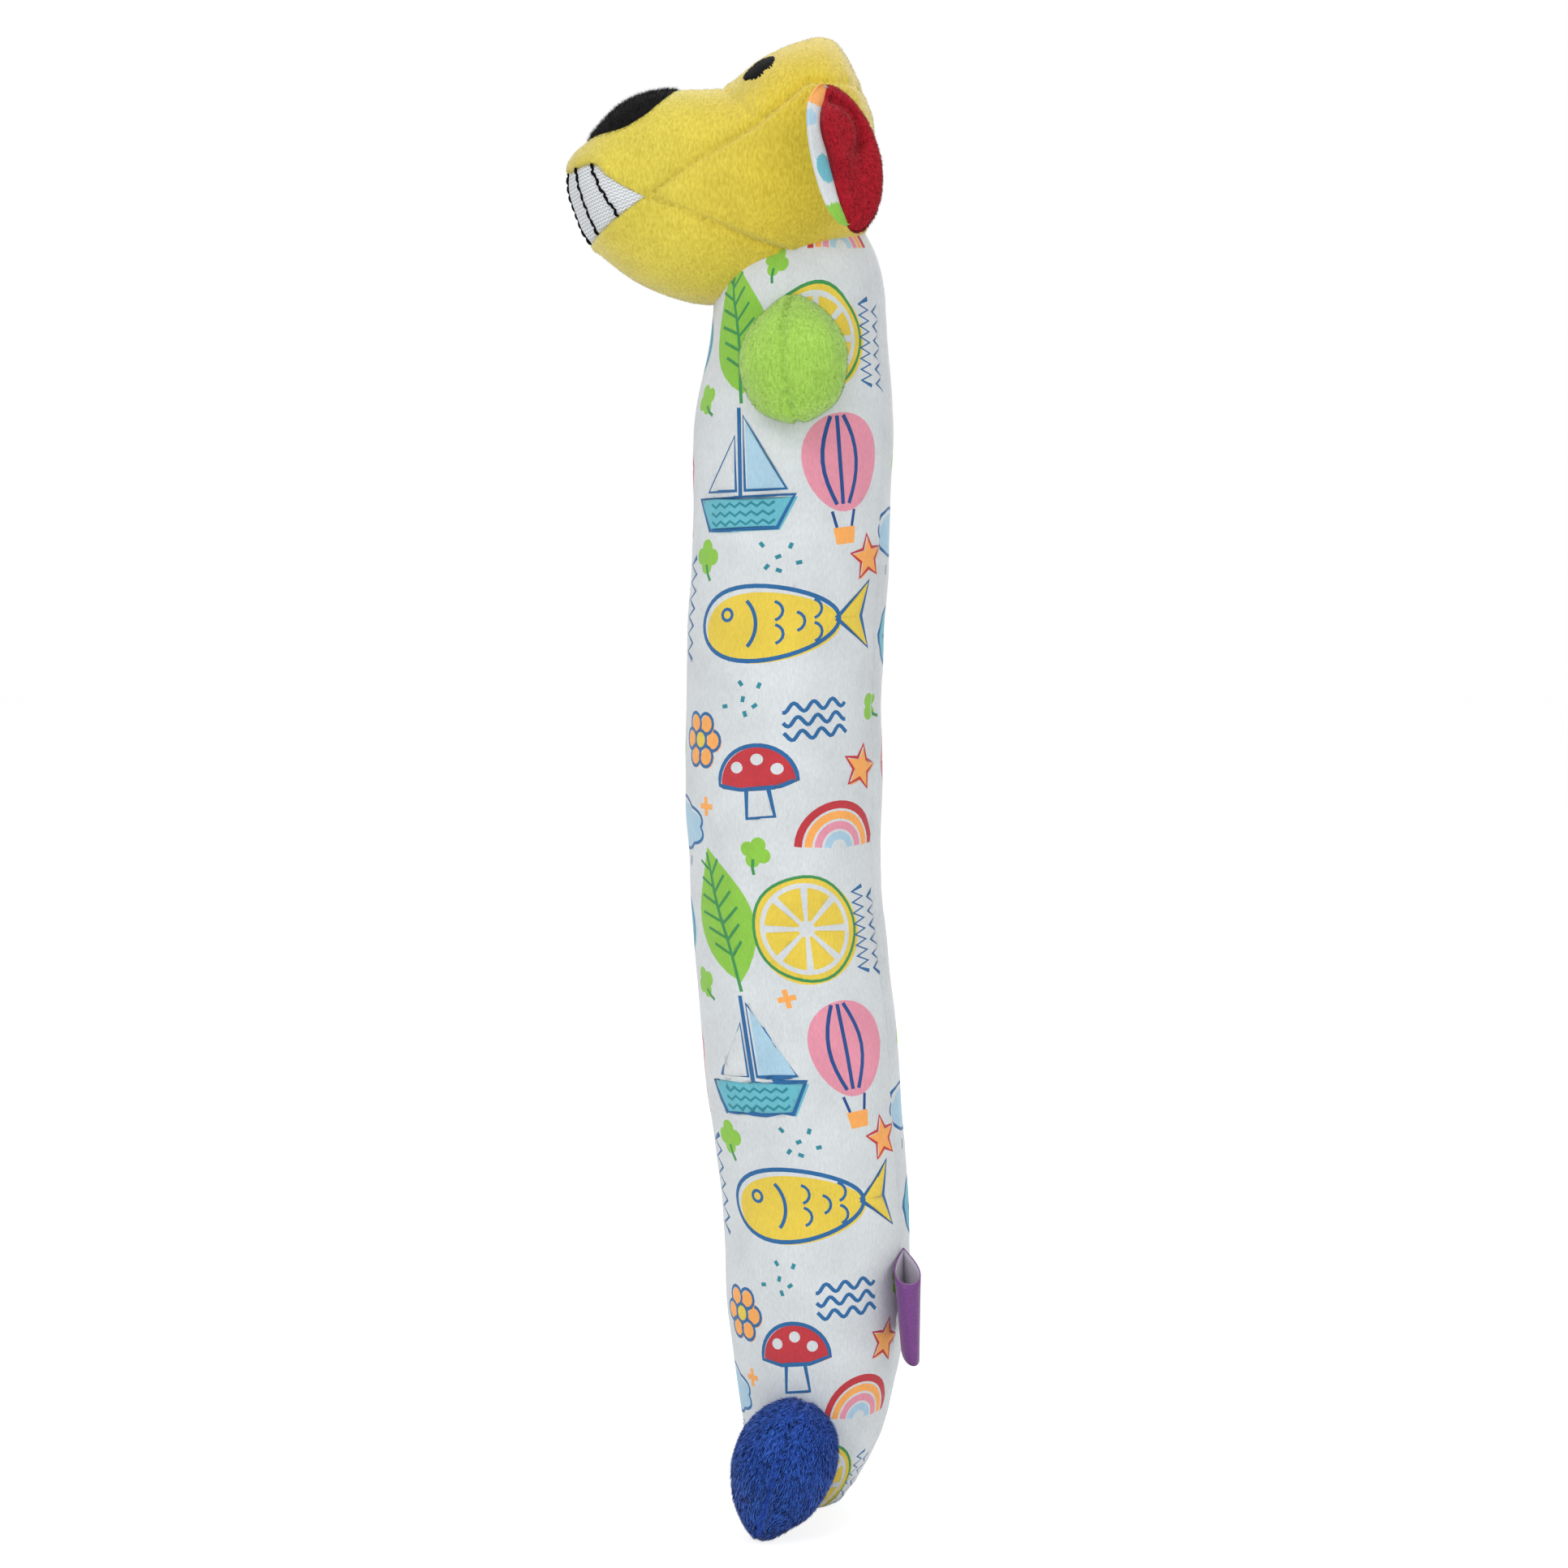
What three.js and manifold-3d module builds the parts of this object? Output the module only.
// A squeaky dog toy: a long stuffed body that stands upright, a sewn head, ears, arms and feet,
// and a squeaker between two wads of stuffing. Millimetres, +Z up. The dog looks along -Y, its left
// side is +X, and the origin is the middle of the seat it stands on.
import * as THREE from 'three';
import { mergeVertices } from 'three/addons/utils/BufferGeometryUtils.js';
import Module from 'manifold-3d';

const wasm = await Module();
wasm.setup();

// Clearance between sewn pieces, and the thickness of each cloth
const GAP = 0.3;
const NECK_GAP = 0.7;
const BODY_CLOTH = 1.6;
const HEAD_CLOTH = 2.2;
const LIMB_CLOTH = 2;
const EAR_CLOTH = 2;

// Body: heights above the floor, radii, and how far its axis leans to the back
const SEAT_RADIUS = 8;
const HIP_HEIGHT = 78;
const HIP_RADIUS = 28.4;
const HIP_BACK = 4;
const WAIST_HEIGHT = 220;
const WAIST_RADIUS = 29.6;
const WAIST_BACK = -6.6;
const CHEST_HEIGHT = 330;
const CHEST_RADIUS = 30.4;
const CHEST_BACK = -3.3;
const NECK_HEIGHT = 371;
const NECK_RADIUS = 26;
const NECK_BACK = -0.5;
const NECK_OPENING = 13;
const NECK_WAD_RADIUS = 21;

// Squeaker: a flat round bulb with its mouth to the front
const SQUEAKER_HEIGHT = 232;
const BULB_RADIUS = 20;
const BULB_HALF_DEPTH = 10;
const BULB_WALL = 1;
const BULB_EDGE = 0.8;
const MOUTH_RADIUS = 5;
const FLANGE_RADIUS = 7;
const FLANGE_THICKNESS = 1.4;
const PLUG_LENGTH = 9;
const PLUG_BORE_RADIUS = 3.2;
const REED_THICKNESS = 0.5;
const REED_WIDTH = 4;
const REED_LENGTH = 8;

// Label: a ribbon loop in a seam at the back, to the left
const LABEL_TOP = 83;
const LABEL_WIDTH = 25;
const LABEL_LENGTH = 18;
const LABEL_LOOP = 9.5;
const LABEL_THICKNESS = 0.5;
const LABEL_TURN = THREE.MathUtils.degToRad(24);
const LABEL_YAW = THREE.MathUtils.degToRad(4);
const LABEL_DROOP = THREE.MathUtils.degToRad(22);

// Head: its middle is in front of and above the neck, and it is pitched nose down
const HEAD_FORWARD = 24.7;
const HEAD_RISE = 35;
const HEAD_PITCH = THREE.MathUtils.degToRad(20);
const MUZZLE_REACH = 43.5;
const MUZZLE_HALF_WIDTH = 22.3;
const MUZZLE_TOP = 34.2;
const STOP_REACH = -10;
const STOP_TOP = 26.8;
const CROWN_TOP = 31.8;
const CHEEK_HALF_WIDTH = 34.5;
const JAW_DEPTH = 34;
const HEAD_BACK = 50.5;
const NOD_DOWN = THREE.MathUtils.degToRad(6);
const COLLAR_WIDTH = 4;

// Sections of the head between those sizes, from the nape to the tip: steps from the nearest of them,
// heights, and the height where each section is widest
const NAPE_TOP = 14;
const NAPE_BOTTOM = 4;
const NAPE_HALF_WIDTH = 6;
const NAPE_MIDDLE = 9;
const POLL_STEP = 3.5;
const POLL_DIP = 5.3;
const POLL_BOTTOM = -9;
const POLL_HALF_WIDTH = 24;
const POLL_MIDDLE = 7.5;
const CROWN_STEP = 12.5;
const CROWN_JAW_LIFT = 8;
const CROWN_NARROWING = 1;
const CROWN_MIDDLE = 4;
const BROW_STEP = 15;
const BROW_DIP = 1.2;
const BROW_MIDDLE = 2;
const STOP_NARROWING = 4;
const BRIDGE_STEP = 40;
const BRIDGE_DIP = 2;
const BRIDGE_JAW_LIFT = 0.5;
const BRIDGE_WIDENING = 3;
const BRIDGE_MIDDLE = -2;
const MUZZLE_STEP = 25.5;
const MUZZLE_JAW_LIFT = 3;
const MUZZLE_MIDDLE = -1;
const LIP_STEP = 10;
const LIP_DIP = 6.2;
const LIP_BOTTOM = -18;
const LIP_NARROWING = 3.8;
const LIP_MIDDLE = 4;
const SNOUT_STEP = 3.5;
const SNOUT_DIP = 11.2;
const SNOUT_BOTTOM = -9;
const SNOUT_NARROWING = 10.8;
const SNOUT_MIDDLE = 6;
const TIP_DIP = 16.2;
const TIP_BOTTOM = -3.5;
const TIP_HALF_WIDTH = 2.5;
const TIP_MIDDLE = 7;

// Face: outlines in the head's own side view, forward and up
const MOUTH_CORNER = [24, 4.2];
const CHEEK_SEAM = [7.2, 7.7];
const STOP_FOOT_STEP = 6;
const STOP_FOOT_RISE = 12.6;
const BROW_SEAM_STEP = 19.5;
const BROW_SEAM_RISE = 19.5;
const NAPE_SEAM_RISE = 8;
const STOP_SEAM_LEAN = 1;
const JOWL_SEAM = [12.4, -5.2];
const JAW_SEAM = [-2.2, -19.3];
const THROAT_SEAM = [-14, -31];
const COLLAR_SEAM_REACH = -20;
const LIP_CORNER = [27.8, 9.1];
const LIP_SIDE = [31.5, 14.1];
const LIP_BEND_REACH = 32.8;
const LIP_BEND_DROP = 2.1;
const LIP_FRONT_REACH = 36;
const LIP_FRONT_DROP = 0.3;
const LOWER_LIP = [33.7, 0.1];
const LOWER_LIP_FALL = 6;
const TEETH_TOP = 19.8;
const TEETH_BOTTOM = -3.3;
const NOSE_REACH = 18.6;
const NOSE_HALF_LENGTH = 15.3;
const NOSE_HALF_WIDTH = 14;
const NOSE_THICKNESS = 1.2;
const EYE_REACH = -21.9;
const EYE_SPREAD = 12.5;
const EYE_HALF_LENGTH = 4.8;
const EYE_HALF_WIDTH = 4.2;
const EYE_THICKNESS = 0.8;
const STITCH_WIDTH = 1;
const STITCH_THICKNESS = 0.8;
const STITCH_COUNT = 5;
const STITCH_TURN = THREE.MathUtils.degToRad(27);

// Ears hang from the back of the head
const EAR_REACH = -37.8;
const EAR_RISE = 14.2;
const EAR_LENGTH = 46;
const EAR_HALF_WIDTH = 11.2;
const EAR_CUP = 3;
const EAR_LEAN = THREE.MathUtils.degToRad(14);
const EAR_SWEEP = THREE.MathUtils.degToRad(12);
const EAR_FLARE = THREE.MathUtils.degToRad(32);

// Arms and feet: eggs that are sewn on at one end
const ARM_DROP = -1.2;
const ARM_BACK = -3;
const ARM_LENGTH = 40;
const ARM_HALF_WIDTH = 16;
const ARM_HALF_DEPTH = 14.5;
const ARM_LEAN = THREE.MathUtils.degToRad(24);
const ARM_TAPER = 0.12;
const FOOT_SINK = 4;
const FOOT_BACK = -3.4;
const FOOT_LENGTH = 44;
const FOOT_HALF_WIDTH = 15.2;
const FOOT_HALF_DEPTH = 16.2;
const FOOT_LEAN = THREE.MathUtils.degToRad(32);
const FOOT_FORWARD = THREE.MathUtils.degToRad(22);
const FOOT_TAPER = -0.08;
const SOLE_CUT = 0.5;
const SEAM_TURN = THREE.MathUtils.degToRad(13);

// Fineness of the meshes
const BODY_SIDES = 24;
const BULB_SIDES = 20;
const DOME_STEP = THREE.MathUtils.degToRad(15);
const HEAD_SIDES = 24;
const LIMB_SIDES = 16;
const EAR_SIDES = 18;
const FAR = 120;
const BEYOND = 1000;

function cloth(color, roughness = 0.9) {
  return new THREE.MeshStandardMaterial({ color, roughness, metalness: 0 });
}

const printPlush = cloth(0xd8dcdd);
const yellowPlush = cloth(0xdcc656);
const blackFleece = cloth(0x17171b);
const blackThread = cloth(0x232327, 0.5);
const mouthMesh = cloth(0xc4c7c8, 0.8);
const redPlush = cloth(0x9a1d28);
const limePlush = cloth(0xa0cc58);
const bluePlush = cloth(0x234388);
const ribbon = cloth(0x653172, 0.45);
const fibre = cloth(0xf2f2ee, 1);
const bulbPlastic = cloth(0xe9e6da, 0.4);
const whistlePlastic = cloth(0xf4f4f4, 0.35);
const reedPlastic = cloth(0xd9dde0, 0.25);

// Solids and cuts

function geometryOf(points, index) {
  const geometry = new THREE.BufferGeometry().setFromPoints(points);
  geometry.setIndex(index);
  return geometry;
}

function signedVolume(points, index) {
  let volume = 0;
  const cross = new THREE.Vector3();
  for (let k = 0; k < index.length; k += 3) {
    cross.crossVectors(points[index[k + 1]], points[index[k + 2]]);
    volume += points[index[k]].dot(cross);
  }
  return volume / 6;
}

function middle(ring) {
  const sum = ring.reduce((total, point) => total.add(point), new THREE.Vector3());
  return sum.divideScalar(ring.length);
}

// Joins a row of equal rings into one closed body, with a fan over the first and the last ring
function loft(rings) {
  const sides = rings[0].length;
  const points = rings.flat();
  const index = [];
  for (let row = 0; row < rings.length - 1; row += 1) {
    for (let k = 0; k < sides; k += 1) {
      const a = row * sides + k;
      const b = row * sides + (k + 1) % sides;
      index.push(a, b, b + sides, a, b + sides, a + sides);
    }
  }
  const start = points.length;
  const lastRow = (rings.length - 1) * sides;
  points.push(middle(rings[0]), middle(rings.at(-1)));
  for (let k = 0; k < sides; k += 1) {
    const next = (k + 1) % sides;
    index.push(start, next, k);
    index.push(start + 1, lastRow + k, lastRow + next);
  }
  if (signedVolume(points, index) < 0) {
    index.reverse();
  }
  return geometryOf(points, index);
}

function solid(geometry) {
  const bare = geometry.clone();
  bare.deleteAttribute('normal');
  bare.deleteAttribute('uv');
  const merged = mergeVertices(bare, 1e-4);
  return new wasm.Manifold(new wasm.Mesh({
    numProp: 3,
    vertProperties: new Float32Array(merged.attributes.position.array),
    triVerts: new Uint32Array(merged.index.array),
  }));
}

// The largest body of a cut solid, as a geometry
function bodyOf(cut) {
  const bodies = cut.decompose();
  bodies.sort((a, b) => b.volume() - a.volume());
  const result = bodies[0].getMesh();
  const geometry = new THREE.BufferGeometry();
  geometry.setAttribute('position', new THREE.BufferAttribute(new Float32Array(result.vertProperties), 3));
  geometry.setIndex(Array.from(result.triVerts));
  return geometry;
}

function mirrored(geometry) {
  const copy = geometry.clone().scale(-1, 1, 1);
  copy.setIndex(Array.from(copy.index.array).reverse());
  return copy;
}

function addPiece(group, name, geometry, material) {
  const mesh = new THREE.Mesh(geometry, material);
  mesh.name = name;
  group.add(mesh);
}

function placedIn(cutter, group) {
  group.updateWorldMatrix(true, false);
  return cutter.transform(group.matrixWorld.clone().invert().elements);
}

function halfSpace(axis, side, edge) {
  const box = new THREE.BoxGeometry(2 * BEYOND, 2 * BEYOND, 2 * BEYOND);
  const shift = new THREE.Vector3();
  shift[axis] = edge + side * BEYOND;
  return solid(box.translate(shift.x, shift.y, shift.z));
}

function ease(t) {
  return t * t * (3 - 2 * t);
}

// Body

const spine = [
  { z: 0, r: SEAT_RADIUS, y: 0 },
  { z: HIP_HEIGHT, r: HIP_RADIUS, y: HIP_BACK },
  { z: WAIST_HEIGHT, r: WAIST_RADIUS, y: WAIST_BACK },
  { z: CHEST_HEIGHT, r: CHEST_RADIUS, y: CHEST_BACK },
  { z: NECK_HEIGHT, r: NECK_RADIUS, y: NECK_BACK },
];

function spineSpan(z) {
  const upper = Math.max(1, spine.findIndex((key) => key.z >= z));
  const low = spine[upper - 1];
  const high = spine[upper];
  return { low, high, t: (z - low.z) / (high.z - low.z) };
}

function bodyBack(z) {
  if (z >= NECK_HEIGHT) {
    return NECK_BACK;
  }
  const { low, high, t } = spineSpan(Math.max(z, 0));
  const round = z < HIP_HEIGHT ? 1 - (1 - t) ** 3 : ease(t);
  return THREE.MathUtils.lerp(low.y, high.y, round);
}

function bodyRadius(z) {
  if (z >= NECK_HEIGHT) {
    return Math.sqrt(Math.max(NECK_RADIUS ** 2 - (z - NECK_HEIGHT) ** 2, 0));
  }
  const { low, high, t } = spineSpan(Math.max(z, 0));
  const round = z < HIP_HEIGHT ? (1 - (1 - t) ** 1.8) ** 0.55 : ease(t);
  return THREE.MathUtils.lerp(low.r, high.r, round);
}

// Radius and height from the edge of the seat to the dome in the neck, moved in by an inset
function bodyProfile(inset, openingRadius, steps) {
  const outline = [];
  for (const share of [0, 0.02, 0.07, 0.17, 0.34, 0.6]) {
    const z = share * HIP_HEIGHT;
    outline.push(new THREE.Vector2(bodyRadius(z), z));
  }
  for (let k = 0; k <= steps; k += 1) {
    const z = THREE.MathUtils.lerp(HIP_HEIGHT, NECK_HEIGHT, k / steps);
    outline.push(new THREE.Vector2(bodyRadius(z), z));
  }
  const domeTurn = Math.acos(openingRadius / NECK_RADIUS);
  const domeSteps = Math.ceil(domeTurn / DOME_STEP);
  for (let k = 1; k <= domeSteps; k += 1) {
    const turn = domeTurn * k / domeSteps;
    const z = NECK_HEIGHT + NECK_RADIUS * Math.sin(turn);
    outline.push(new THREE.Vector2(NECK_RADIUS * Math.cos(turn), z));
  }
  return outline.map((point, k) => {
    const before = k > 0 ? outline[k - 1] : new THREE.Vector2(0, 0);
    const after = k < outline.length - 1 ? outline[k + 1] : point;
    const along = after.clone().sub(before).normalize();
    return new THREE.Vector2(point.x - along.y * inset, point.y + along.x * inset);
  });
}

function bodyRings(inset, openingRadius, steps) {
  return bodyProfile(inset, openingRadius, steps).map((point) => {
    const ring = [];
    for (let k = 0; k < BODY_SIDES; k += 1) {
      const turn = 2 * Math.PI * k / BODY_SIDES;
      const x = point.x * Math.cos(turn);
      const y = bodyBack(point.y) + point.x * Math.sin(turn);
      ring.push(new THREE.Vector3(x, y, point.y));
    }
    return ring;
  });
}

const bodyClear = solid(loft(bodyRings(-GAP, 1, 12)));
const neckClear = solid(loft(bodyRings(-NECK_GAP, 1, 12)));
const neckMiddle = new THREE.Vector3(0, NECK_BACK, NECK_HEIGHT);

function addBody(toy) {
  const outside = bodyRings(0, NECK_OPENING, 12);
  const inside = bodyRings(BODY_CLOTH, NECK_OPENING, 6);
  addPiece(toy, 'body_panel', loft([...outside, ...inside.reverse()]), printPlush);

  const core = solid(loft(bodyRings(BODY_CLOTH + GAP, NECK_OPENING, 6)));
  const room = squeakerRoom();
  const lower = core.intersect(halfSpace('z', -1, SQUEAKER_HEIGHT - GAP / 2)).subtract(room);
  addPiece(toy, 'lower_stuffing', bodyOf(lower), fibre);

  const cup = new THREE.SphereGeometry(NECK_WAD_RADIUS + NECK_GAP, 16, 10).translate(...neckMiddle.toArray());
  const upper = core
    .intersect(halfSpace('z', 1, SQUEAKER_HEIGHT + GAP / 2))
    .intersect(halfSpace('z', -1, NECK_HEIGHT))
    .subtract(room)
    .subtract(solid(cup));
  addPiece(toy, 'upper_stuffing', bodyOf(upper), fibre);

  const wad = new THREE.SphereGeometry(NECK_WAD_RADIUS, 16, 10);
  const wadGroup = new THREE.Group();
  wadGroup.position.copy(neckMiddle);
  addPiece(wadGroup, 'neck_stuffing', bodyOf(solid(wad)), fibre);
  toy.add(wadGroup);
}

// Squeaker, turned about its own Y axis with the mouth at its lower end

const squeakerMiddle = new THREE.Vector3(0, bodyBack(SQUEAKER_HEIGHT), SQUEAKER_HEIGHT);

function bulbOutline(radius, halfDepth, mouth) {
  const edge = halfDepth * BULB_EDGE;
  const points = [new THREE.Vector2(mouth, -halfDepth)];
  for (let k = 0; k <= 5; k += 1) {
    const turn = Math.PI * (k / 5 - 0.5);
    points.push(new THREE.Vector2(radius - edge + edge * Math.cos(turn), halfDepth * Math.sin(turn)));
  }
  points.push(new THREE.Vector2(0, halfDepth));
  return points;
}

function turned(points) {
  return bodyOf(solid(new THREE.LatheGeometry(points, BULB_SIDES)));
}

// The hollow that the stuffing leaves for the bulb and for the flange in front of it
function squeakerRoom() {
  const bulb = bulbOutline(BULB_RADIUS + GAP, BULB_HALF_DEPTH + GAP, 0);
  const room = new THREE.LatheGeometry(bulb, BULB_SIDES);
  const frontLength = FLANGE_THICKNESS + 3 * GAP;
  const front = new THREE.CylinderGeometry(FLANGE_RADIUS + GAP, FLANGE_RADIUS + GAP, frontLength, BULB_SIDES);
  front.translate(0, -BULB_HALF_DEPTH - frontLength / 2 + GAP / 2, 0);
  return solid(room).add(solid(front)).translate(squeakerMiddle.toArray());
}

function addSqueaker(toy) {
  const squeaker = new THREE.Group();
  squeaker.position.copy(squeakerMiddle);
  toy.add(squeaker);

  const outer = bulbOutline(BULB_RADIUS, BULB_HALF_DEPTH, MOUTH_RADIUS);
  const inner = bulbOutline(BULB_RADIUS - BULB_WALL, BULB_HALF_DEPTH - BULB_WALL, MOUTH_RADIUS);
  addPiece(squeaker, 'squeaker_bulb', turned([...outer, ...inner.reverse(), outer[0].clone()]), bulbPlastic);

  const back = -BULB_HALF_DEPTH - GAP;
  const stemRadius = MOUTH_RADIUS - GAP;
  const plug = [
    new THREE.Vector2(PLUG_BORE_RADIUS, back - FLANGE_THICKNESS),
    new THREE.Vector2(FLANGE_RADIUS, back - FLANGE_THICKNESS),
    new THREE.Vector2(FLANGE_RADIUS, back),
    new THREE.Vector2(stemRadius, back),
    new THREE.Vector2(stemRadius, back + PLUG_LENGTH),
    new THREE.Vector2(PLUG_BORE_RADIUS, back + PLUG_LENGTH),
  ];
  plug.push(plug[0].clone());
  addPiece(squeaker, 'squeaker_plug', turned(plug), whistlePlastic);

  const reed = new THREE.BoxGeometry(REED_WIDTH, REED_LENGTH, REED_THICKNESS);
  reed.translate(0, back + PLUG_LENGTH / 2, 0);
  addPiece(squeaker, 'squeaker_reed', bodyOf(solid(reed)), reedPlastic);

  const wedgeRadius = PLUG_BORE_RADIUS - GAP;
  const wedge = new THREE.CylinderGeometry(wedgeRadius, wedgeRadius, REED_LENGTH, BULB_SIDES);
  wedge.translate(0, back + PLUG_LENGTH / 2, 0);
  const lowerHalf = solid(wedge).intersect(halfSpace('z', -1, -REED_THICKNESS / 2 - GAP / 2));
  addPiece(squeaker, 'reed_wedge', bodyOf(lowerHalf), whistlePlastic);
}

// Label: a loop with the outline of a drop, drooping from its seam

function dropOutline(length, width, start) {
  const points = [];
  for (let k = 0; k < 24; k += 1) {
    const turn = 2 * Math.PI * k / 24;
    const along = start + length * (1 - Math.cos(turn)) / 2;
    const across = 0.5 * width * Math.sin(turn) * Math.sin(turn / 2) ** 1.2 * 1.08;
    points.push(new THREE.Vector2(along, across));
  }
  return points;
}

// A drop-shaped prism under the top edge of the label, sheared down along its length
function dropPrism(length, width, start, overlap) {
  const shape = new THREE.Shape(dropOutline(length, width, start));
  const prism = new THREE.ExtrudeGeometry(shape, { depth: LABEL_WIDTH + 2 * overlap, bevelEnabled: false });
  const droop = new THREE.Matrix4();
  droop.elements[2] = -Math.tan(LABEL_DROOP);
  return solid(prism.translate(0, 0, -LABEL_WIDTH - overlap).applyMatrix4(droop));
}

function addLabel(toy) {
  const hollowLength = LABEL_LENGTH - 5 * LABEL_THICKNESS;
  const hollowLoop = LABEL_LOOP - 2 * LABEL_THICKNESS;
  const hollow = dropPrism(hollowLength, hollowLoop, 4 * LABEL_THICKNESS, 1);
  const loop = dropPrism(LABEL_LENGTH, LABEL_LOOP, 0, 0).subtract(hollow);

  const label = new THREE.Group();
  const seamHeight = LABEL_TOP - LABEL_WIDTH / 2;
  const reach = bodyRadius(LABEL_TOP) + GAP;
  const y = bodyBack(seamHeight) + reach * Math.cos(LABEL_TURN);
  label.position.set(reach * Math.sin(LABEL_TURN), y, LABEL_TOP);
  label.rotation.z = LABEL_YAW;
  addPiece(label, 'side_label', bodyOf(loop), ribbon);
  toy.add(label);
}

// Head, in its own frame: x to the left, -y forward, z up

function headKey(reach, top, bottom, half, widest) {
  return { reach, top, bottom, half, widest };
}

const bridgeHalf = MUZZLE_HALF_WIDTH + BRIDGE_WIDENING;
const bridgeJaw = BRIDGE_JAW_LIFT - JAW_DEPTH;
const muzzleJaw = MUZZLE_JAW_LIFT - JAW_DEPTH;
const lipHalf = MUZZLE_HALF_WIDTH - LIP_NARROWING;
const snoutHalf = MUZZLE_HALF_WIDTH - SNOUT_NARROWING;
const crownHalf = CHEEK_HALF_WIDTH - CROWN_NARROWING;
const stopHalf = CHEEK_HALF_WIDTH - STOP_NARROWING;
const headKeys = [
  headKey(-HEAD_BACK, NAPE_TOP, NAPE_BOTTOM, NAPE_HALF_WIDTH, NAPE_MIDDLE),
  headKey(POLL_STEP - HEAD_BACK, CROWN_TOP - POLL_DIP, POLL_BOTTOM, POLL_HALF_WIDTH, POLL_MIDDLE),
  headKey(CROWN_STEP - HEAD_BACK, CROWN_TOP, CROWN_JAW_LIFT - JAW_DEPTH, crownHalf, CROWN_MIDDLE),
  headKey(STOP_REACH - BROW_STEP, CROWN_TOP - BROW_DIP, -JAW_DEPTH, CHEEK_HALF_WIDTH, BROW_MIDDLE),
  headKey(STOP_REACH, STOP_TOP, -JAW_DEPTH, stopHalf, 0),
  headKey(MUZZLE_REACH - BRIDGE_STEP, MUZZLE_TOP - BRIDGE_DIP, bridgeJaw, bridgeHalf, BRIDGE_MIDDLE),
  headKey(MUZZLE_REACH - MUZZLE_STEP, MUZZLE_TOP, muzzleJaw, MUZZLE_HALF_WIDTH, MUZZLE_MIDDLE),
  headKey(MUZZLE_REACH - LIP_STEP, MUZZLE_TOP - LIP_DIP, LIP_BOTTOM, lipHalf, LIP_MIDDLE),
  headKey(MUZZLE_REACH - SNOUT_STEP, MUZZLE_TOP - SNOUT_DIP, SNOUT_BOTTOM, snoutHalf, SNOUT_MIDDLE),
  headKey(MUZZLE_REACH, MUZZLE_TOP - TIP_DIP, TIP_BOTTOM, TIP_HALF_WIDTH, TIP_MIDDLE),
];
const headCurve = new THREE.CubicInterpolant(
  headKeys.map((key) => key.reach),
  headKeys.flatMap((key) => [key.top, key.bottom, key.half, key.widest]),
  4,
);

function headSection(reach) {
  const [top, bottom, half, widest] = headCurve.evaluate(reach);
  return { top, bottom, half, widest };
}

// Half the head's width at a place in its side view
function headHalfWidth(reach, rise) {
  const { top, bottom, half, widest } = headSection(reach);
  const height = rise > widest ? (rise - widest) / (top - widest) : (widest - rise) / (widest - bottom);
  return half * Math.sqrt(Math.max(1 - height ** 2, 0));
}

function rounded(value) {
  return Math.sign(value) * Math.abs(value) ** 0.92;
}

const headShares = [
  0, 0.012, 0.04, 0.09, 0.16, 0.26, 0.36, 0.46, 0.55, 0.64, 0.73, 0.82, 0.89, 0.94, 0.97, 0.99, 1,
];

function headLoft(grow, sides) {
  const rings = headShares.map((share) => {
    const reach = THREE.MathUtils.lerp(-HEAD_BACK, MUZZLE_REACH, share);
    const { top, bottom, half, widest } = headSection(reach);
    const forward = reach + grow * THREE.MathUtils.lerp(-1, 1, share);
    const ring = [];
    for (let k = 0; k < sides; k += 1) {
      const turn = 2 * Math.PI * (k + 0.5) / sides;
      const across = rounded(Math.cos(turn)) * Math.max(half + grow, 0.6);
      const up = rounded(Math.sin(turn));
      const height = up > 0 ? Math.max(top - widest + grow, 0.6) : Math.max(widest - bottom + grow, 0.6);
      ring.push(new THREE.Vector3(across, -forward, widest + up * height));
    }
    return ring;
  });
  return loft(rings);
}

// A prism through the whole head from an outline in its side view
function sidePrism(outline) {
  const shape = new THREE.Shape(outline.map(([reach, rise]) => new THREE.Vector2(reach, rise)));
  const prism = new THREE.ExtrudeGeometry(shape, { depth: 2 * FAR, bevelEnabled: false });
  const turn = new THREE.Matrix4();
  turn.makeBasis(new THREE.Vector3(0, -1, 0), new THREE.Vector3(0, 0, 1), new THREE.Vector3(-1, 0, 0));
  return solid(prism.applyMatrix4(turn).translate(FAR, 0, 0));
}

function smoothLine(points, steps) {
  const curve = new THREE.SplineCurve(points.map(([reach, rise]) => new THREE.Vector2(reach, rise)));
  return curve.getPoints(steps).map((point) => [point.x, point.y]);
}

// The slit that a seam leaves between two panels
function seamSlit(line) {
  const left = [];
  const right = [];
  line.forEach(([reach, rise], k) => {
    const before = line[Math.max(k - 1, 0)];
    const after = line[Math.min(k + 1, line.length - 1)];
    const along = new THREE.Vector2(after[0] - before[0], after[1] - before[1]).setLength(GAP / 2);
    left.push([reach - along.y, rise + along.x]);
    right.push([reach + along.y, rise - along.x]);
  });
  return sidePrism([...left, ...right.reverse()]);
}

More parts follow.
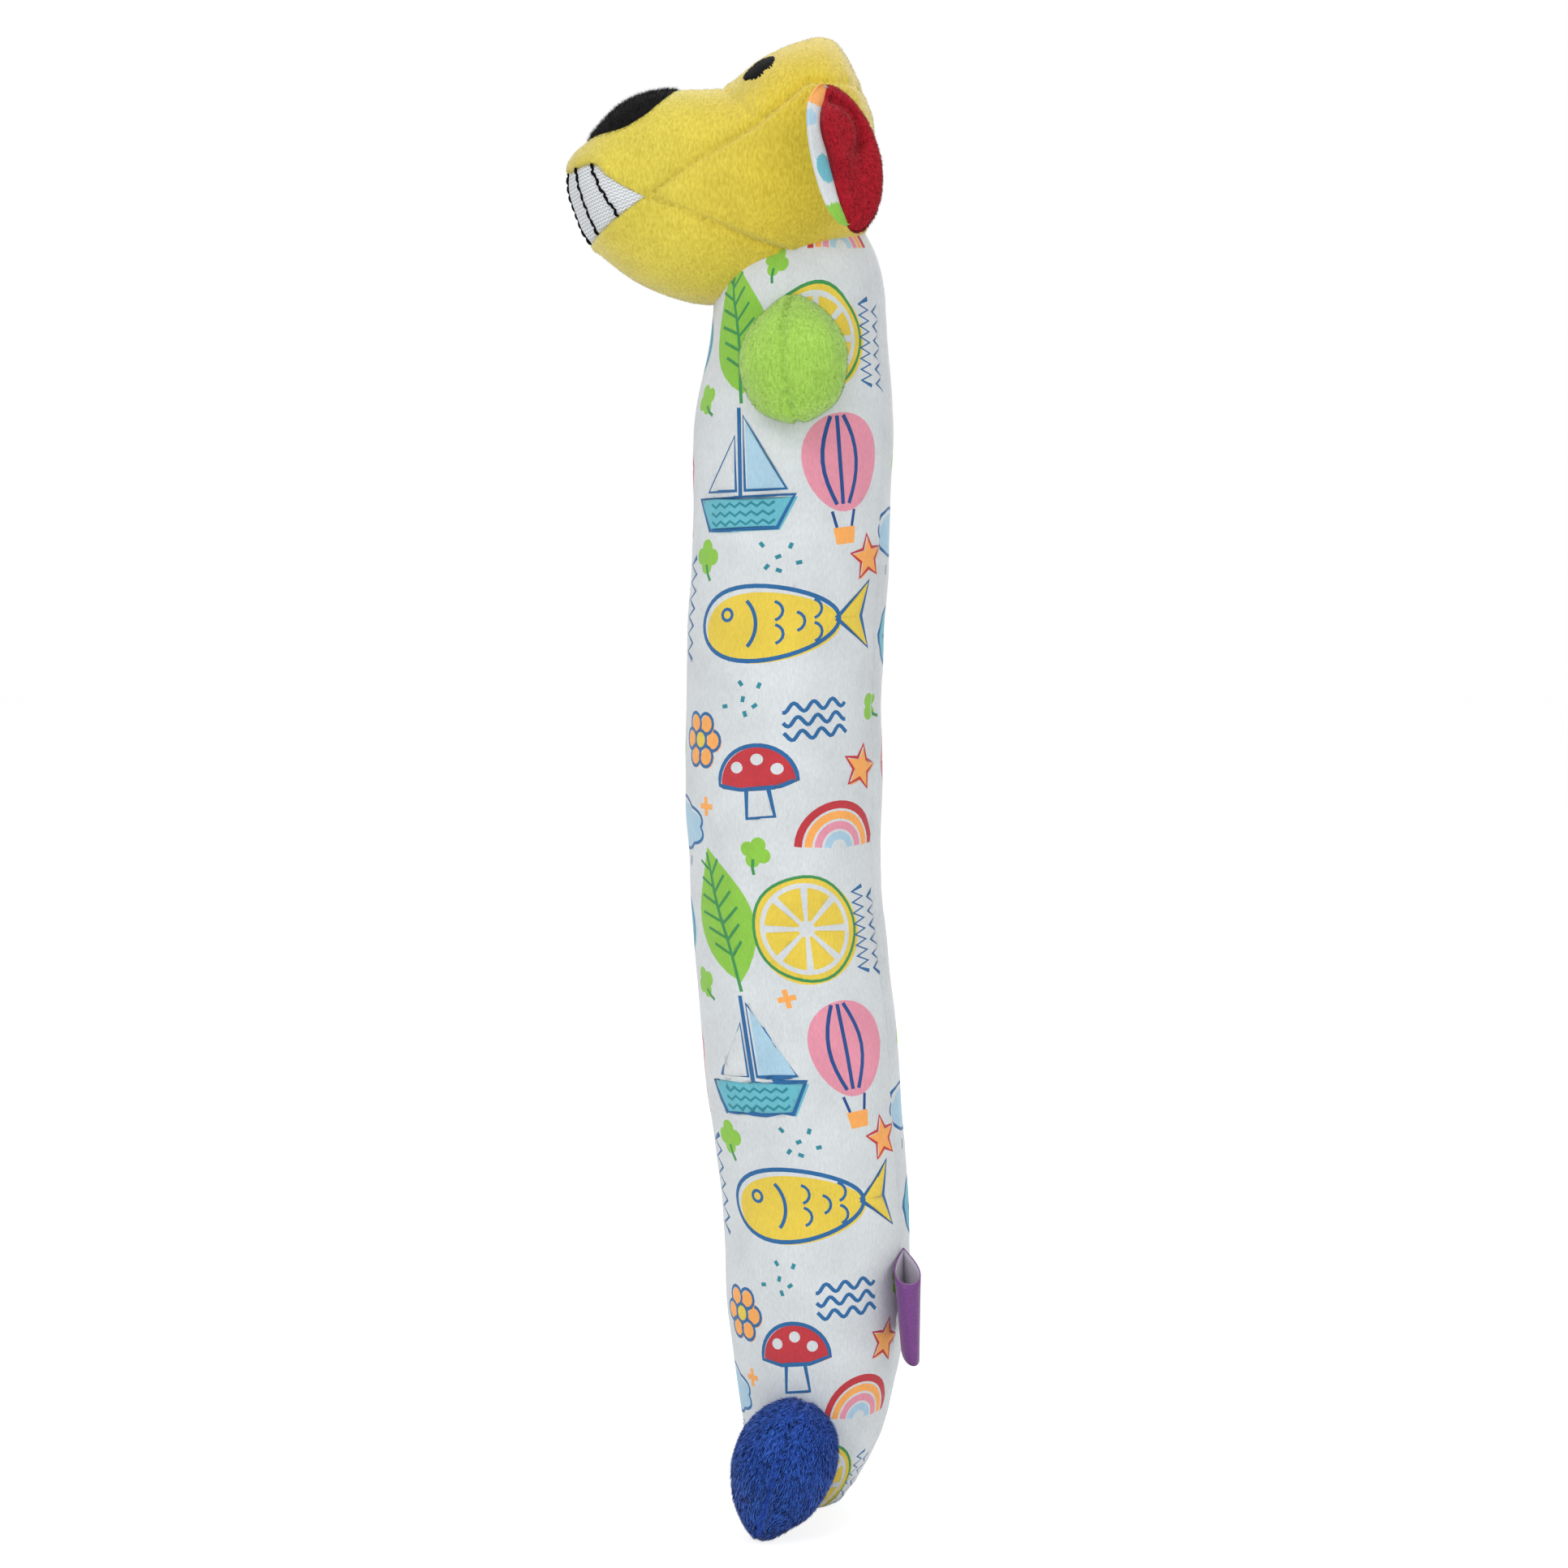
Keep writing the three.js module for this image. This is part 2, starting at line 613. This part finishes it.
const stopFoot = [STOP_REACH - STOP_FOOT_STEP, STOP_FOOT_RISE];
const stopHead = [STOP_REACH, STOP_TOP];
const browSeam = [STOP_REACH - BROW_SEAM_STEP, BROW_SEAM_RISE];
const napeSeam = [-FAR / 2, NAPE_SEAM_RISE];
const collarSeam = [COLLAR_SEAM_REACH, -FAR / 2];
const upperSeamFront = smoothLine([MOUTH_CORNER, CHEEK_SEAM, stopFoot], 8);
const upperSeamBack = smoothLine([stopFoot, browSeam, [EAR_REACH, EAR_RISE], napeSeam], 9);
const lowerSeam = smoothLine([MOUTH_CORNER, JOWL_SEAM, JAW_SEAM, THROAT_SEAM, collarSeam], 12);
const stopSeam = [stopFoot, stopHead, [STOP_REACH + STOP_SEAM_LEAN, FAR / 2]];
const teethUpper = [
  MOUTH_CORNER,
  LIP_CORNER,
  LIP_SIDE,
  [LIP_BEND_REACH, TEETH_TOP - LIP_BEND_DROP],
  [LIP_FRONT_REACH, TEETH_TOP - LIP_FRONT_DROP],
  [FAR / 2, TEETH_TOP],
];
const teethLower = [
  MOUTH_CORNER,
  LOWER_LIP,
  [MUZZLE_REACH, TEETH_BOTTOM],
  [FAR / 2, TEETH_BOTTOM - LOWER_LIP_FALL],
];
const corners = {
  topFront: [FAR / 2, FAR / 2],
  topBack: [-FAR / 2, FAR / 2],
  bottomFront: [FAR / 2, -FAR / 2],
  bottomBack: [-FAR / 2, -FAR / 2],
};

const panelOutlines = {
  muzzle_panel: [
    ...upperSeamFront.toReversed(),
    ...teethUpper.slice(1),
    corners.topFront,
    ...stopSeam.toReversed().slice(0, -1),
  ],
  crown_panel: [...stopSeam.toReversed(), ...upperSeamBack.slice(1), corners.topBack],
  teeth_panel: [...teethUpper.toReversed(), ...teethLower.slice(1)],
  chin_panel: [...lowerSeam.toReversed(), ...teethLower.slice(1), corners.bottomFront],
};
const cheekOutline = [
  ...lowerSeam.toReversed(),
  ...upperSeamFront.slice(1),
  ...upperSeamBack.slice(1),
  corners.bottomBack,
];

const headGroup = new THREE.Group();
headGroup.position.set(0, NECK_BACK - HEAD_FORWARD, NECK_HEIGHT + HEAD_RISE);
headGroup.rotation.x = HEAD_PITCH;
const headClear = solid(headLoft(GAP, HEAD_SIDES));

// What the neck takes out of the head: the body, and a collar that lets the head nod down
function neckRoom() {
  const collarRadius = NECK_RADIUS + COLLAR_WIDTH;
  const collarRise = collarRadius * Math.sin(NOD_DOWN) + NECK_GAP;
  const collarHeight = 2 * collarRise;
  const collar = new THREE.CylinderGeometry(collarRadius, collarRadius, collarHeight, BODY_SIDES);
  collar.rotateX(Math.PI / 2).translate(0, NECK_BACK, NECK_HEIGHT + collarRise - collarHeight / 2);
  return placedIn(neckClear.add(solid(collar)), headGroup);
}

function addHead(toy) {
  toy.add(headGroup);
  const room = neckRoom();
  const inside = solid(headLoft(-HEAD_CLOTH, HEAD_SIDES - 6));
  let shell = solid(headLoft(0, HEAD_SIDES)).subtract(inside).subtract(room);
  for (const line of [upperSeamFront, upperSeamBack, lowerSeam, stopSeam, teethUpper, teethLower]) {
    shell = shell.subtract(seamSlit(line));
  }
  for (const [name, outline] of Object.entries(panelOutlines)) {
    const material = name === 'teeth_panel' ? mouthMesh : yellowPlush;
    addPiece(headGroup, name, bodyOf(shell.intersect(sidePrism(outline))), material);
  }
  const cheeks = shell.intersect(sidePrism(cheekOutline));
  for (const [side, sign] of [['left', 1], ['right', -1]]) {
    const cheek = cheeks.intersect(halfSpace('x', sign, sign * GAP / 2));
    addPiece(headGroup, `${side}_cheek_panel`, bodyOf(cheek), yellowPlush);
  }

  const wad = solid(headLoft(-HEAD_CLOTH - GAP, HEAD_SIDES - 6)).subtract(room);
  addPiece(headGroup, 'head_stuffing', bodyOf(wad), fibre);
}

// A layer of the given thickness that lies on the head
function headLayer(thickness) {
  return solid(headLoft(GAP + thickness, HEAD_SIDES)).subtract(headClear);
}

function ovalPrism(across, reach, halfWidth, halfLength) {
  const oval = new THREE.CylinderGeometry(1, 1, FAR, 20);
  oval.rotateX(Math.PI / 2).translate(0, 0, FAR / 2).scale(halfWidth, halfLength, 1);
  return solid(oval.translate(across, -reach, 0));
}

function addFace() {
  const noseHole = ovalPrism(0, NOSE_REACH, NOSE_HALF_WIDTH, NOSE_HALF_LENGTH);
  const nose = bodyOf(headLayer(NOSE_THICKNESS).intersect(noseHole));
  addPiece(headGroup, 'nose_patch', nose, blackFleece);

  const eyeHole = ovalPrism(EYE_SPREAD, EYE_REACH, EYE_HALF_WIDTH, EYE_HALF_LENGTH);
  const eye = bodyOf(headLayer(EYE_THICKNESS).intersect(eyeHole));
  addPiece(headGroup, 'left_eye', eye, blackThread);
  addPiece(headGroup, 'right_eye', mirrored(eye), blackThread);

  const band = headLayer(STITCH_THICKNESS).intersect(sidePrism(panelOutlines.teeth_panel));
  const turnMiddle = MUZZLE_REACH - MUZZLE_HALF_WIDTH;
  for (let k = 0; k < STITCH_COUNT; k += 1) {
    const slab = new THREE.BoxGeometry(STITCH_WIDTH, FAR, FAR).translate(0, -FAR / 2, 0);
    slab.rotateZ(STITCH_TURN * (k - (STITCH_COUNT - 1) / 2)).translate(0, -turnMiddle, 0);
    addPiece(headGroup, `tooth_stitch_${k + 1}`, bodyOf(band.intersect(solid(slab))), blackThread);
  }
}

// Ears: two curved layers each, in a frame where the ear hangs along -z and its plush faces +x

function earSkin(side) {
  const inward = [1, 0.7, 0.35];
  const layer = (share, offset) => {
    const ring = [];
    for (let k = 0; k < EAR_SIDES; k += 1) {
      const turn = 2 * Math.PI * k / EAR_SIDES;
      const up = share * Math.cos(turn);
      const across = share * Math.sin(turn) * (1 - 0.3 * up);
      const cup = EAR_CUP * (across ** 2 - 0.4) + offset;
      ring.push(new THREE.Vector3(cup, across * EAR_HALF_WIDTH, (up - 1) * EAR_LENGTH / 2));
    }
    return ring;
  };
  const near = side * GAP / 2;
  const far = (share) => near + side * EAR_CLOTH * (1 - 0.5 * share ** 3);
  const outer = inward.map((share) => layer(share, far(share)));
  const inner = inward.map((share) => layer(share, near));
  return loft([...outer.reverse(), ...inner]);
}

function addEars() {
  const reach = headHalfWidth(EAR_REACH, EAR_RISE) + EAR_CLOTH;
  for (const [name, side] of [['left', 1], ['right', -1]]) {
    const ear = new THREE.Group();
    ear.position.set(side * reach, -EAR_REACH, EAR_RISE);
    ear.rotation.set(EAR_SWEEP - HEAD_PITCH, -side * EAR_LEAN, side * EAR_FLARE);
    headGroup.add(ear);
    const room = placedIn(headClear.transform(headGroup.matrixWorld.elements), ear);
    for (const [part, face, material] of [['plush', 1, redPlush], ['lining', -1, printPlush]]) {
      const skin = side > 0 ? earSkin(face) : mirrored(earSkin(face));
      addPiece(ear, `${name}_ear_${part}`, bodyOf(solid(skin).subtract(room)), material);
    }
  }
}

// Arms and feet: an egg of two halves round a wad, in a frame where it hangs along -z from its root

function egg(length, halfDepth, halfWidth, taper, inset, rows, sides) {
  const rings = [];
  for (let row = 0; row <= rows; row += 1) {
    const turn = Math.PI * (0.04 + 0.92 * row / rows);
    const swell = Math.sin(turn) * (1 - taper * Math.cos(turn));
    const z = -length / 2 + (length / 2 - inset) * Math.cos(turn);
    const ring = [];
    for (let k = 0; k < sides; k += 1) {
      const angle = 2 * Math.PI * (k + 0.5) / sides;
      const x = swell * (halfDepth - inset) * Math.cos(angle);
      const y = swell * (halfWidth - inset) * Math.sin(angle);
      ring.push(new THREE.Vector3(x, y, z));
    }
    rings.push(ring);
  }
  return loft(rings);
}

function addLimb(toy, limb, side) {
  const group = new THREE.Group();
  group.position.copy(limb.root).setX(side * limb.root.x);
  group.rotation.set(limb.forward, -side * limb.lean, 0);
  toy.add(group);
  const { length, halfDepth, halfWidth, taper } = limb;
  const outside = solid(egg(length, halfDepth, halfWidth, taper, 0, 10, LIMB_SIDES));
  const inside = solid(egg(length, halfDepth, halfWidth, taper, LIMB_CLOTH, 6, LIMB_SIDES - 4));
  const wad = solid(egg(length, halfDepth, halfWidth, taper, LIMB_CLOTH + GAP, 6, LIMB_SIDES - 4));
  const neighbours = bodyClear.add(headClear.transform(headGroup.matrixWorld.elements));
  const room = placedIn(neighbours, group);
  const floor = placedIn(halfSpace('z', -1, 0), group);
  const skin = outside.subtract(inside).subtract(room).subtract(floor);
  const turn = new THREE.Matrix4().makeRotationZ(-side * SEAM_TURN);
  for (const [half, face] of [['front', -1], ['back', 1]]) {
    const cut = halfSpace('y', face, face * GAP / 2).transform(turn.elements);
    addPiece(group, `${limb.name(side)}_${half}_panel`, bodyOf(skin.intersect(cut)), limb.material);
  }
  addPiece(group, `${limb.name(side)}_stuffing`, bodyOf(wad.subtract(room)), fibre);
}

function sideName(part) {
  return (side) => `${side > 0 ? 'left' : 'right'}_${part}`;
}

function addLimbs(toy) {
  const armHeight = NECK_HEIGHT - ARM_DROP;
  const arm = {
    name: sideName('arm'),
    root: new THREE.Vector3(bodyRadius(armHeight), bodyBack(armHeight) + ARM_BACK, armHeight),
    length: ARM_LENGTH,
    halfDepth: ARM_HALF_DEPTH,
    halfWidth: ARM_HALF_WIDTH,
    taper: ARM_TAPER,
    lean: ARM_LEAN,
    forward: 0,
    material: limePlush,
  };
  // The foot's lowest point lies just under the floor, which cuts the sole flat
  const upright = Math.cos(FOOT_LEAN) * Math.cos(FOOT_FORWARD);
  const sideways = Math.sqrt(1 - upright ** 2);
  const depth = Math.hypot(FOOT_LENGTH / 2 * upright, FOOT_HALF_DEPTH * sideways);
  const footHeight = depth - SOLE_CUT + FOOT_LENGTH / 2 * upright;
  const foot = {
    name: sideName('foot'),
    root: new THREE.Vector3(bodyRadius(footHeight) - FOOT_SINK, bodyBack(footHeight) + FOOT_BACK, footHeight),
    length: FOOT_LENGTH,
    halfDepth: FOOT_HALF_DEPTH,
    halfWidth: FOOT_HALF_WIDTH,
    taper: FOOT_TAPER,
    lean: FOOT_LEAN,
    forward: -FOOT_FORWARD,
    material: bluePlush,
  };
  for (const limb of [arm, foot]) {
    addLimb(toy, limb, 1);
    addLimb(toy, limb, -1);
  }
}

const toy = new THREE.Group();
addBody(toy);
addSqueaker(toy);
addLabel(toy);
addHead(toy);
addFace();
addEars();
addLimbs(toy);

export default toy;
